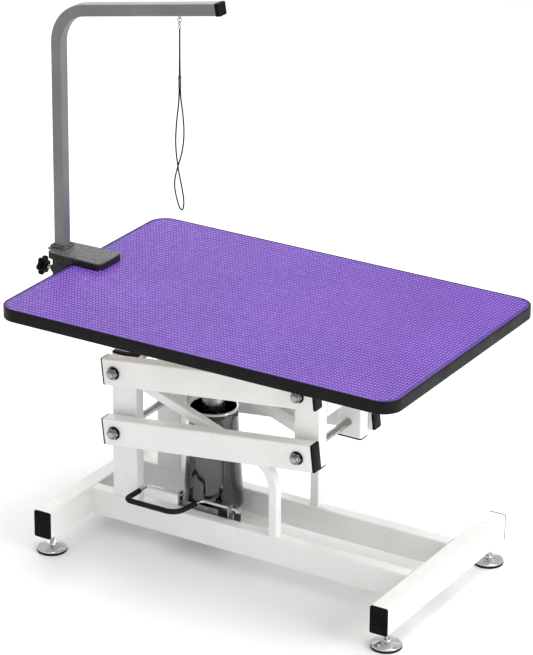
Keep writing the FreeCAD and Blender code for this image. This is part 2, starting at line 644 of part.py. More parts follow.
# ---------------------------------------------------------------- clamp of the grooming arm
clamp_y, arm_x = S["clamp_y"], S["arm_x"]
TABLE_LEFT = S["table_centre"] - S["table_length"] / 2
PLATE_THICK = 15
JAW_TOP, JAW_LOW = 500, 482
SOCKET = 38
SOCKET_TOP = 593
PLATE_RIGHT = -331
plate_left = arm_x - SOCKET / 2
plate_points = [(plate_left + 3, -38), (PLATE_RIGHT, -43), (PLATE_RIGHT, 43), (plate_left + 3, 38)]
plate_wire = Part.makePolygon([Vector(x, clamp_y + y, S["table_top"]) for x, y in plate_points]
                              + [Vector(plate_points[0][0], clamp_y + plate_points[0][1], S["table_top"])])
plate_body = Part.Face(plate_wire).extrude(Vector(0, 0, PLATE_THICK))
upright_edges = [edge for edge in plate_body.Edges
                 if abs(edge.Vertexes[0].Z - edge.Vertexes[-1].Z) > PLATE_THICK / 2]
plate_body = plate_body.makeFillet(13, upright_edges)
top_edges = [edge for edge in plate_body.Edges
             if min(point.Z for point in edge.Vertexes) > S["table_top"] + PLATE_THICK - 0.1]
plate_body = plate_body.makeFillet(2.5, top_edges)
back_left = plate_left + SOCKET
back = Part.makeBox(TABLE_LEFT - 1.5 - back_left, 56, S["table_top"] - JAW_LOW + 8,
                    Vector(back_left, clamp_y - 28, JAW_LOW))
jaw_low = Vector(back_left, clamp_y - 22, JAW_LOW)
jaw = Part.makeBox(PLATE_RIGHT - 30 - back_left, 44, JAW_TOP - JAW_LOW, jaw_low)
jaw = jaw.makeFillet(6, [edge for edge in jaw.Edges if abs(edge.Vertexes[0].Z - edge.Vertexes[-1].Z) > 5])
socket = Part.makeBox(SOCKET, SOCKET, SOCKET_TOP - JAW_TOP, Vector(plate_left, clamp_y - SOCKET / 2, JAW_TOP))
socket = socket.makeFillet(3, [edge for edge in socket.Edges
                               if abs(edge.Vertexes[0].Z - edge.Vertexes[-1].Z) > 5])
KNOB_Z = 534
boss = Part.makeCylinder(10, 8, Vector(plate_left - 6, clamp_y, KNOB_Z), X)
casting = plate_body.fuse([back, jaw, socket, boss])
SLIDE_GAP = 0.5
hole_size = S["arm_size"] + 2 * SLIDE_GAP
hole_low = Vector(arm_x - hole_size / 2, clamp_y - hole_size / 2, 470)
post_hole = Part.makeBox(hole_size, hole_size, 140, hole_low)
mouth_size = hole_size + 5
mouth = Part.makeBox(mouth_size, mouth_size, 12, Vector(arm_x - mouth_size / 2, clamp_y - mouth_size / 2,
                                                        SOCKET_TOP - 9))
knob_hole = Part.makeCylinder(5.1, 30, Vector(plate_left - 10, clamp_y, KNOB_Z), X)
SCREW_X = PLATE_RIGHT - 58
screw_hole = Part.makeCylinder(6.1, 40, Vector(SCREW_X, clamp_y, JAW_LOW - 10), Z)
casting = casting.cut([post_hole, mouth, knob_hole, screw_hole]).removeSplitter()
keep(solid("clamp_casting", casting.Solids[0]), "clamp_casting")

# Lobed locking knob on the left of the socket; its screw tip stops just short of the post.
KNOB_OUT = -513.4
KNOB_RADIUS = 21
knob = Part.makeCylinder(KNOB_RADIUS, 16, Vector(KNOB_OUT, clamp_y, KNOB_Z), X)
LOBES = 6
for lobe in range(LOBES):
    angle = math.radians(360 / LOBES * (lobe + 0.5))
    dent = Vector(KNOB_OUT - 1, clamp_y + math.cos(angle) * 25, KNOB_Z + math.sin(angle) * 25)
    knob = knob.cut(Part.makeCylinder(8, 18, dent, X))
hub = Part.makeCylinder(9, 6, Vector(KNOB_OUT + 16, clamp_y, KNOB_Z), X)
tip = arm_x - S["arm_size"] / 2 - 0.4
screw = Part.makeCylinder(5, tip - KNOB_OUT - 22, Vector(KNOB_OUT + 22, clamp_y, KNOB_Z), X)
keep(solid("lock_knob", knob.fuse([hub, screw]).removeSplitter()), "lock_knob")

# Clamp screw under the jaw with a swivelling pad and a cross handle.
PAD_TOP = TABLE_UNDER - 0.3
pad_shape = Part.makeCylinder(14, 6, Vector(SCREW_X, clamp_y, PAD_TOP - 6), Z)
keep(solid("clamp_pad", pad_shape), "clamp_pad")
SCREW_LOW = 425
shank = Part.makeCylinder(6, PAD_TOP - 6.3 - SCREW_LOW, Vector(SCREW_X, clamp_y, SCREW_LOW), Z)
head = Part.makeCylinder(9, 14, Vector(SCREW_X, clamp_y, SCREW_LOW - 6), Z)
handle = Part.makeCylinder(3.5, 70, Vector(SCREW_X - 35, clamp_y, SCREW_LOW + 1), X)
balls = [Part.makeSphere(5.5, Vector(SCREW_X + step, clamp_y, SCREW_LOW + 1)) for step in (-35, 35)]
keep(solid("clamp_screw", shank.fuse([head, handle, *balls]).removeSplitter()), "clamp_screw")

# ---------------------------------------------------------------- grooming arm
rise = math.tan(math.radians(S["arm_slope"]))
arm_route = [Vector(arm_x, clamp_y, S["arm_foot"]), Vector(arm_x, clamp_y, S["arm_corner"]),
             Vector(S["arm_tip"], clamp_y, S["arm_corner"] + (S["arm_tip"] - arm_x) * rise)]
arm_path = path_wire(arm_route, [S["arm_bend"]])
arm_tube = square_tube(arm_path, S["arm_size"], arm_route[0], Z)
keep(solid("grooming_arm", arm_tube), "grooming_arm")
cap_turn = Rotation(Y, 90 - S["arm_slope"])
cap_size = S["arm_size"] + 2
keep(padded("arm_end_cap", rounded_rectangle(cap_size, cap_size, 3), "9",
            Placement(arm_route[2], cap_turn)), "arm_end_cap")

# Eye under the arm, snap clip with a thumb trigger and a swivel, noose and slider.
noose_x = S["noose_x"]
half_arm_high = S["arm_size"] / 2 / math.cos(math.radians(S["arm_slope"]))
arm_under = S["arm_corner"] + (noose_x - arm_x) * rise - half_arm_high
EYE_RING, EYE_WIRE = 3.2, 1.2
EYE_Z = arm_under - EYE_RING - EYE_WIRE - 0.5
eye_ring = Part.makeTorus(EYE_RING, EYE_WIRE, Vector(noose_x, clamp_y, EYE_Z), X)
eye_stem = Part.makeCylinder(2.2, 6, Vector(noose_x, clamp_y, EYE_Z + EYE_RING), Z)
keep(solid("arm_eye", eye_ring.fuse(eye_stem.cut(arm_tube)).Solids[0].removeSplitter()), "arm_eye")
HOOK_RING, HOOK_WIRE = 4.6, 1.2
HOOK_Z = EYE_Z - EYE_RING + EYE_WIRE + HOOK_WIRE + 0.1 - HOOK_RING
CLIP_LOW = HOOK_Z - 10.8
CLIP_HIGH = HOOK_Z - HOOK_RING - 0.6
hook_side = Vector(noose_x, clamp_y - HOOK_WIRE, HOOK_Z)
hook_ring = Part.makeCylinder(HOOK_RING + HOOK_WIRE, 2 * HOOK_WIRE, hook_side, Y)
hook_ring = hook_ring.cut(Part.makeCylinder(HOOK_RING - HOOK_WIRE, 2 * HOOK_WIRE, hook_side, Y))
hook_ring = hook_ring.makeFillet(HOOK_WIRE - 0.1, [edge for edge in hook_ring.Edges if len(edge.Vertexes) == 1])
hook_body = Part.makeCylinder(2.4, CLIP_HIGH - CLIP_LOW, Vector(noose_x, clamp_y, CLIP_LOW), Z)
swivel_hole = Part.makeCylinder(1.1, 2.1, Vector(noose_x, clamp_y, CLIP_LOW - 1), Z)
trigger_slot = Part.makeBox(2.2, 3, 4.4, Vector(noose_x - 1.1, clamp_y - 3.8, CLIP_LOW + 0.9))
clip = hook_ring.fuse(hook_body).cut([swivel_hole, trigger_slot]).removeSplitter()
keep(solid("noose_clip", clip), "noose_clip")
trigger = Part.makeCylinder(0.9, 3.4, Vector(noose_x, clamp_y - 0.9, CLIP_LOW + 4.2), -Y)
keep(solid("clip_trigger", trigger), "clip_trigger")
SWIVEL_RING, SWIVEL_WIRE = 2.9, 1.1
SWIVEL_Z = CLIP_LOW - 0.3 - SWIVEL_WIRE - SWIVEL_RING
swivel_ring = Part.makeTorus(SWIVEL_RING, SWIVEL_WIRE, Vector(noose_x, clamp_y, SWIVEL_Z), Y)
swivel_stem = Part.makeCylinder(1, 2.2, Vector(noose_x, clamp_y, SWIVEL_Z + SWIVEL_RING), Z)
keep(solid("clip_swivel", swivel_ring.fuse(swivel_stem).removeSplitter()), "clip_swivel")

# The noose is one cord: down from the swivel, round the loop and back up beside itself.
# Its two strands hang one behind the other, so the slider is seen edge on from the front right.
CORD_TOP = SWIVEL_Z - SWIVEL_RING - SWIVEL_WIRE
SLIDER_TURN = 121
noose_points = [
    (0.9, -1.5, CORD_TOP), (0.9, -1.5, 975), (-6, -2.4, 925), (-9.5, -3, 870), (-2.5, -3, 817), (7, -3, 778),
    (11, -2.5, 753), (10, -2, 738), (5.5, 0, 728.5), (-2, 1.5, 731.5), (-9, 2.5, 748), (-17, 3, 781),
    (-9, 3, 816), (4, 3, 853), (9, 3, 897), (4.4, 3, 945), (-0.9, 1.5, 978), (-0.9, 1.5, CORD_TOP)]
noose_route = [Vector(noose_x + dx, clamp_y + dy, z) for dx, dy, z in noose_points]
noose_radii = [bend_radius(noose_route, index) for index in range(1, len(noose_route) - 1)]
print("noose bend radii", [round(radius, 1) for radius in noose_radii])
noose_path = path_wire(noose_route, noose_radii)
noose_start = (noose_route[1] - noose_route[0]).normalize()
noose_tube = swept(noose_path, round_profile(S["cord_radius"], noose_route[0], noose_start))
expected = math.pi * S["cord_radius"] ** 2 * noose_path.Length
print("noose length", round(noose_path.Length, 1), "volume ratio", round(noose_tube.Volume / expected, 4))
keep(solid("noose_cord", noose_tube), "noose_cord")
SLIDER_LONG, SLIDER_THICK, SLIDER_HIGH = 9.6, 7, 22
SLOT_LONG, SLOT_THICK = 7.6, 4.4
slider = Part.makeBox(SLIDER_LONG, SLIDER_THICK, SLIDER_HIGH, Vector(-SLIDER_LONG / 2, -SLIDER_THICK / 2, 0))
slider = slider.makeFillet(2.5, [edge for edge in slider.Edges
                                 if abs(edge.Vertexes[0].Z - edge.Vertexes[-1].Z) > 5])
slot = Part.makeBox(SLOT_LONG, SLOT_THICK, SLIDER_HIGH + 4, Vector(-SLOT_LONG / 2, -SLOT_THICK / 2, -2))
slider = slider.cut(slot)
slider.Placement = Placement(Vector(noose_x, clamp_y, 993), Rotation(Z, SLIDER_TURN))
keep(solid("noose_slider", slider), "noose_slider")

# ---------------------------------------------------------------- check and export
doc.recompute()
for obj in doc.Objects:
    if "Invalid" in obj.State or "Error" in obj.State:
        raise RuntimeError(f"{obj.Label} failed: {obj.State}")
for obj in parts:
    if obj.Shape.isNull() or not obj.Shape.isValid():
        raise RuntimeError(f"{obj.Label} has no valid shape")
    obj.Shape.exportStep(f"parts/{obj.Label}.step")
print(len(parts), "parts written")
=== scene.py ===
import json
import math

import bpy
from mathutils import Matrix, Vector


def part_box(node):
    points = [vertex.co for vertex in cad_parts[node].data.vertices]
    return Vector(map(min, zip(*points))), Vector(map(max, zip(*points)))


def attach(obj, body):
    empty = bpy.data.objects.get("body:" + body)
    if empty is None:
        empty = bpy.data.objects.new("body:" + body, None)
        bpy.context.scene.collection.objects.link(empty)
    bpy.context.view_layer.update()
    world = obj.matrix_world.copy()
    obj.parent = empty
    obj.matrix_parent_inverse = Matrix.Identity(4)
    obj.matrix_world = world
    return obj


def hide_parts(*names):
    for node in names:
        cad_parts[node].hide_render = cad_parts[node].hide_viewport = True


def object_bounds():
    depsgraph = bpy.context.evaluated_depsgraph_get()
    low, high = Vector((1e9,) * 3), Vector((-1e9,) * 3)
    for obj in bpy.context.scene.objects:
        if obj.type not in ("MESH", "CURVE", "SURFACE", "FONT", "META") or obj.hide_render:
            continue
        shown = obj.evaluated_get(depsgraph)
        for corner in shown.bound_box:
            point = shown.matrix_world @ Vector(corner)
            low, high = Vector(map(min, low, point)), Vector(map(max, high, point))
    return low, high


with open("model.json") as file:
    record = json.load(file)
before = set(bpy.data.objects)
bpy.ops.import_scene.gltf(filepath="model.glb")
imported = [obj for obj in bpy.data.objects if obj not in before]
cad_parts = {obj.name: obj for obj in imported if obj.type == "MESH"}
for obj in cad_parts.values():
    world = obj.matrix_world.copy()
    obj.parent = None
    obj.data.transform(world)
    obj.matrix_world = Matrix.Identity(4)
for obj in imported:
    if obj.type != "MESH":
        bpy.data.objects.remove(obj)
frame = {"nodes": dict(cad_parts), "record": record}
cad_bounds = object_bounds()
NODES = frame["nodes"]
MM = 0.001
X, Y, Z = Vector((1, 0, 0)), Vector((0, 1, 0)), Vector((0, 0, 1))


# ---------------------------------------------------------------- node materials
class Shader:
    """A material with a Principled shader and small helpers for its procedural nodes."""

    def __init__(self, name, metallic=0.0, roughness=0.5, coat=0.0, coat_roughness=0.1,
                 sheen=0.0, specular=0.5):
        self.material = bpy.data.materials.new(name)
        self.material.use_nodes = True
        self.tree = self.material.node_tree
        self.tree.nodes.clear()
        self.bsdf = self.add("ShaderNodeBsdfPrincipled")
        output = self.add("ShaderNodeOutputMaterial")
        self.link(self.bsdf.outputs["BSDF"], output.inputs["Surface"])
        values = {"Metallic": metallic, "Roughness": roughness, "Coat Weight": coat,
                  "Coat Roughness": coat_roughness, "Sheen Weight": sheen, "Specular IOR Level": specular}
        for socket, value in values.items():
            self.bsdf.inputs[socket].default_value = value
        self.place = self.add("ShaderNodeTexCoord").outputs["Object"]

    def add(self, kind, **settings):
        node = self.tree.nodes.new(kind)
        for key, value in settings.items():
            setattr(node, key, value)
        return node

    def link(self, source, target):
        self.tree.links.new(source, target)

    def stretched(self, scale):
        """Object coordinates scaled along each axis."""
        node = self.add("ShaderNodeMapping")
        node.inputs["Scale"].default_value = scale
        self.link(self.place, node.inputs["Vector"])
        return node.outputs["Vector"]

    def noise(self, scale, detail=3.0, rough=0.5, where=None):
        node = self.add("ShaderNodeTexNoise")
        node.inputs["Scale"].default_value = scale
        node.inputs["Detail"].default_value = detail
        node.inputs["Roughness"].default_value = rough
        self.link(where or self.place, node.inputs["Vector"])
        return node.outputs["Fac"]

    def voronoi(self, scale, where=None, feature="F1"):
        node = self.add("ShaderNodeTexVoronoi", feature=feature)
        node.inputs["Scale"].default_value = scale
        self.link(where or self.place, node.inputs["Vector"])
        return node.outputs["Distance"]

    def wave(self, scale, direction="X", distortion=0.0, where=None):
        node = self.add("ShaderNodeTexWave", bands_direction=direction)
        node.inputs["Scale"].default_value = scale
        node.inputs["Distortion"].default_value = distortion
        self.link(where or self.place, node.inputs["Vector"])
        return node.outputs["Fac"]

    def spread(self, fac, low, high, start=0.3, end=0.7):
        """fac mapped from start..end to low..high."""
        node = self.add("ShaderNodeMapRange")
        for socket, value in (("From Min", start), ("From Max", end), ("To Min", low), ("To Max", high)):
            node.inputs[socket].default_value = value
        self.link(fac, node.inputs["Value"])
        return node.outputs["Result"]

    def ramp(self, fac, *stops):
        """A colour ramp; each stop is (position, (r, g, b))."""
        node = self.add("ShaderNodeValToRGB")
        elements = node.color_ramp.elements
        while len(elements) < len(stops):
            elements.new(0.5)
        for element, (position, colour) in zip(elements, stops):
            element.position = position
            element.color = (*colour, 1)
        self.link(fac, node.inputs["Fac"])
        return node.outputs["Color"]

    def mix(self, fac, first, second, blend="MIX"):
        node = self.add("ShaderNodeMix", data_type="RGBA", blend_type=blend)
        if isinstance(fac, float):
            node.inputs[0].default_value = fac
        else:
            self.link(fac, node.inputs[0])
        for socket, value in ((node.inputs[6], first), (node.inputs[7], second)):
            if isinstance(value, tuple):
                socket.default_value = (*value, 1)
            else:
                self.link(value, socket)
        return node.outputs[2]

    def above(self, low, high):
        """0 below the height low, rising to 1 at the height high, in metres."""
        split = self.add("ShaderNodeSeparateXYZ")
        self.link(self.place, split.inputs["Vector"])
        return self.spread(split.outputs["Z"], 0.0, 1.0, low, high)

    def colour(self, source):
        self.link(source, self.bsdf.inputs["Base Color"])

    def rough(self, source):
        self.link(source, self.bsdf.inputs["Roughness"])

    def bump(self, height, distance, strength=1.0, below=None):
        node = self.add("ShaderNodeBump")
        node.inputs["Strength"].default_value = strength
        node.inputs["Distance"].default_value = distance
        self.link(height, node.inputs["Height"])
        if below is not None:
            self.link(below, node.inputs["Normal"])
        self.link(node.outputs["Normal"], self.bsdf.inputs["Normal"])
        return node.outputs["Normal"]


def powder_coat():
    """White powder coat: orange peel, faint dust and slightly uneven gloss."""
    s = Shader("white_powder_coat", roughness=0.32, coat=0.15, coat_roughness=0.25)
    dust = s.noise(9, 5)
    s.colour(s.ramp(dust, (0.25, (0.80, 0.80, 0.785)), (0.75, (0.88, 0.88, 0.875))))
    s.rough(s.spread(s.noise(40, 4), 0.27, 0.42))
    peel = s.bump(s.noise(420, 2), 0.0004, 0.35)
    s.bump(s.voronoi(900), 0.00012, 0.25, below=peel)
    return s.material


def black_plastic():
    """Moulded black plastic with a fine grain and rubbed, shinier patches."""
    s = Shader("black_plastic", roughness=0.45, specular=0.06)
    s.colour(s.ramp(s.noise(30, 4), (0.3, (0.0025, 0.0025, 0.003)), (0.8, (0.0065, 0.0065, 0.007))))
    s.rough(s.spread(s.noise(60, 4), 0.34, 0.55))
    s.bump(s.noise(1500, 2), 0.0001, 0.4)
    return s.material


def edge_band():
    """Black PVC edge band: satin, with faint drawn lines along its length."""
    s = Shader("black_edge_band", roughness=0.42, specular=0.12)
    s.colour(s.ramp(s.noise(12, 5), (0.3, (0.003, 0.003, 0.0035)), (0.8, (0.008, 0.008, 0.0085))))
    s.rough(s.spread(s.noise(25, 4), 0.36, 0.50))
    s.bump(s.noise(1, 2, where=s.stretched((30, 30, 2600))), 0.0001, 0.3)
    return s.material


def chrome():
    """Bright chrome plate with light smears."""
    s = Shader("chrome_plate", metallic=1.0, roughness=0.06)
    s.colour(s.ramp(s.noise(16, 5), (0.3, (0.60, 0.60, 0.61)), (0.8, (0.74, 0.74, 0.75))))
    s.rough(s.spread(s.noise(35, 6, 0.6), 0.035, 0.12))
    s.bump(s.noise(6, 3), 0.0006, 0.15)
    return s.material


def chrome_painted_dark_reflection():
    """Polished plate of the pump cover, painted dark as a painted dark reflection, with long vertical streaks
    of lighter and darker tone.
    """
    s = Shader("chrome_painted_dark_reflection", metallic=1.0, roughness=0.1)
    # painted reflection: the very dark base colour stands in for dark surroundings reflected in the chrome
    s.colour(s.ramp(s.noise(1, 4, where=s.stretched((22, 22, 3))),
                    (0.3, (0.070, 0.069, 0.068)), (0.75, (0.120, 0.119, 0.117))))
    s.rough(s.spread(s.noise(30, 6, 0.6), 0.06, 0.17))
    s.bump(s.noise(1, 3, where=s.stretched((14, 14, 2))), 0.002, 0.2)
    return s.material


def pivot_steel():
    """Bright plated steel of the pivot bolts and nuts."""
    s = Shader("pivot_steel", metallic=1.0, roughness=0.12)
    s.colour(s.ramp(s.noise(70, 4), (0.3, (0.30, 0.30, 0.30)), (0.8, (0.42, 0.42, 0.42))))
    s.rough(s.spread(s.noise(120, 4), 0.07, 0.18))
    s.bump(s.noise(700, 2), 0.00015, 0.3)
    return s.material


def black_steel():
    """Blackened steel of the pivot washers, its tone varying at random."""
    s = Shader("black_steel", metallic=1.0, roughness=0.2)
    s.colour(s.ramp(s.noise(70, 4), (0.3, (0.020, 0.020, 0.020)), (0.85, (0.075, 0.075, 0.075))))
    s.rough(s.spread(s.noise(120, 4), 0.14, 0.30))
    s.bump(s.noise(700, 2), 0.00015, 0.3)
    return s.material


def zinc_steel():
    """Bright zinc-plated steel with turning marks."""
    s = Shader("zinc_steel", metallic=1.0, roughness=0.2)
    s.colour(s.ramp(s.noise(50, 4), (0.3, (0.46, 0.46, 0.47)), (0.8, (0.66, 0.66, 0.67))))
    s.rough(s.spread(s.noise(90, 4), 0.14, 0.30))
    s.bump(s.noise(700, 2), 0.00015, 0.3)
    return s.material


def bracket_steel():
    """Dull plated sheet steel with a rolled grain."""
    s = Shader("bracket_steel", metallic=1.0, roughness=0.3)
    s.colour(s.ramp(s.noise(40, 4), (0.3, (0.24, 0.24, 0.25)), (0.8, (0.40, 0.40, 0.41))))
    s.rough(s.spread(s.noise(1, 4, where=s.stretched((60, 900, 900))), 0.22, 0.42))
    s.bump(s.noise(1, 3, where=s.stretched((80, 1500, 1500))), 0.0001, 0.3)
    return s.material


def black_rubber():
    """Soft black rubber with a dust-flecked, uneven matt surface."""
    s = Shader("black_rubber", roughness=0.6, specular=0.2)
    s.colour(s.ramp(s.noise(45, 5), (0.3, (0.004, 0.004, 0.004)), (0.8, (0.011, 0.011, 0.011))))
    s.rough(s.spread(s.noise(80, 4), 0.48, 0.75))
    s.bump(s.noise(900, 3), 0.0002, 0.4)
    return s.material


def hammer_coat():
    """Black textured coat on a casting: pebbled, with the upper face painted lighter than the sides as painted
    light from above.
    """
    s = Shader("black_hammer_coat", roughness=0.55, specular=0.2)
    grain = s.voronoi(430)
    # painted light: above 582.5 mm the casting gets a lighter speckled colour standing in for the top light;
    # the sides keep the plain dark coat
    painted_lit_top = s.ramp(grain, (0.0, (0.30, 0.30, 0.29)), (0.3, (0.15, 0.15, 0.148)), (0.7, (0.035, 0.035, 0.034)))
    plain_coat = s.ramp(grain, (0.0, (0.06, 0.06, 0.058)), (0.3, (0.022, 0.022, 0.022)),
                   (0.7, (0.006, 0.006, 0.006)))
    s.colour(s.mix(s.above(0.5825, 0.5848), plain_coat, painted_lit_top))
    s.rough(s.spread(s.noise(120, 4), 0.38, 0.62))
    coarse = s.bump(s.voronoi(430), 0.0012, -0.7)
    s.bump(s.noise(1200, 3), 0.0003, 0.4, below=coarse)
    return s.material


def purple_mat():
    """Purple rubber, shinier on the raised lozenges; their tops are painted paler as painted highlight and the
    valleys between them painted darker as painted shade.
    """
    s = Shader("purple_mat_rubber", roughness=0.55, specular=0.35)
    tone = s.noise(5, 5)
    # painted highlight and shade: lozenge tops get the paler colour, the valleys between them a much darker one
    top = s.ramp(tone, (0.3, (0.255, 0.110, 0.54)), (0.75, (0.300, 0.134, 0.61)))
    painted_shade_valleys = s.ramp(tone, (0.3, (0.050, 0.010, 0.20)), (0.75, (0.066, 0.016, 0.25)))
    s.colour(s.mix(s.above(0.5691, 0.5699), painted_shade_valleys, top))
    s.rough(s.spread(s.noise(70, 4), 0.42, 0.60))
    s.bump(s.noise(1300, 3), 0.00012, 0.35)
    return s.material


def plywood():
    """Raw plywood, long grain along X."""
    s = Shader("plywood", roughness=0.65)
    grain = s.noise(1, 6, 0.6, where=s.stretched((4, 60, 120)))
    s.colour(s.ramp(grain, (0.25, (0.44, 0.38, 0.30)), (0.55, (0.58, 0.52, 0.43)), (0.8, (0.68, 0.62, 0.53))))
    s.rough(s.spread(grain, 0.55, 0.8))
    s.bump(grain, 0.0006, 0.35)
    return s.material


def arm_steel():
    """Grey satin plated tube with a fine drawn grain along the post."""
    s = Shader("grey_arm_steel", metallic=0.3, roughness=0.42, specular=0.4)
    s.colour(s.ramp(s.noise(14, 5), (0.3, (0.175, 0.175, 0.175)), (0.8, (0.215, 0.215, 0.212))))
    s.rough(s.spread(s.noise(1, 4, where=s.stretched((900, 900, 30))), 0.36, 0.50))
    s.bump(s.noise(1, 3, where=s.stretched((1500, 1500, 40))), 0.00008, 0.3)
    return s.material


def braided_cord():
    """Black braided nylon: crossing strands as two diagonal waves."""
    s = Shader("black_braided_cord", roughness=0.75, specular=0.15)
    left = s.wave(330, "DIAGONAL")
    right = s.wave(330, "DIAGONAL", where=s.stretched((-1, 1, 1)))
    braid = s.mix(0.5, left, right)
    s.colour(s.ramp(braid, (0.2, (0.002, 0.002, 0.002)), (0.9, (0.011, 0.011, 0.012))))
    s.rough(s.spread(s.noise(300, 2), 0.6, 0.85))
    s.bump(braid, 0.0005, 0.6)
    return s.material


def grey_plastic():
    """Dark grey moulded plastic of the noose slider."""
    s = Shader("grey_plastic", roughness=0.4)
    s.colour(s.ramp(s.noise(60, 4), (0.3, (0.035, 0.035, 0.037)), (0.8, (0.065, 0.065, 0.068))))
    s.rough(s.spread(s.noise(80, 4), 0.32, 0.5))
    s.bump(s.noise(900, 2), 0.0001, 0.3)
    return s.material


MATERIALS = {
    "white_paint": powder_coat(), "black_plastic": black_plastic(), "chrome": chrome(),
    "zinc_steel": zinc_steel(), "rubber": black_rubber(), "black_casting": hammer_coat(),
    "bracket_steel": bracket_steel(), "mat_rubber": purple_mat(), "board_wood": plywood(),
    "arm_steel": arm_steel(), "cord_fabric": braided_cord(), "slider_grey": grey_plastic(),
    "edge_band": edge_band(), "chrome_painted_dark_reflection": chrome_painted_dark_reflection(), "pivot_steel": pivot_steel(),
    "black_steel": black_steel(),
}
SLOT_OF = {row["node"]: row["material_slot"] for row in frame["record"]["subparts"]}

for name, obj in NODES.items():
    obj.data.materials.clear()
    obj.data.materials.append(MATERIALS[SLOT_OF[name]])


# ---------------------------------------------------------------- shapes, in millimetres
def turned_to(place, way):
    """A frame at place whose Z axis points along way."""
    return Matrix.Translation(Vector(place)) @ Vector(way).to_track_quat("Z", "Y").to_matrix().to_4x4()


def circle(radius, height, segments):
    return [(radius * math.cos(2 * math.pi * i / segments),
             radius * math.sin(2 * math.pi * i / segments), height)
            for i in range(segments)]


def rounded(points, radii, steps=6):
    """A closed outline (counter-clockwise) with its corners rounded."""
    result = []
    count = len(points)
    for index, (point, radius) in enumerate(zip(points, radii)):
        corner = Vector(point).to_2d()
        back = (Vector(points[index - 1]).to_2d() - corner).normalized()
        ahead = (Vector(points[(index + 1) % count]).to_2d() - corner).normalized()
        half = back.angle(ahead) / 2
        hub = corner + (back + ahead).normalized() * radius / math.sin(half)
        start = corner + back * radius / math.tan(half) - hub
        sweep = math.pi - 2 * half
        for step in range(steps + 1):
            turn = Matrix.Rotation(sweep * step / steps, 2)
            spot = hub + turn @ start
            result.append((spot.x, spot.y))
    return result


def rectangle(length, width, radius, steps=6, centre=(0, 0)):
    x, y = length / 2, width / 2
    corners = [(x, y), (-x, y), (-x, -y), (x, -y)]
    return [(a + centre[0], b + centre[1]) for a, b in rounded(corners, [radius] * 4, steps)]


def inset(outline, distance):
    """The outline moved inwards by distance."""
    result = []
    count = len(outline)
    for index, point in enumerate(outline):
        here = Vector(point)
        before = here - Vector(outline[index - 1])
        after = Vector(outline[(index + 1) % count]) - here
        first = Vector((-before.y, before.x)).normalized()
        second = Vector((-after.y, after.x)).normalized()
        moved = here + (first + second) * distance / (1 + first.dot(second))
        result.append((moved.x, moved.y))
    return result


def at_height(outline, height):
    return [(x, y, height) for x, y in outline]


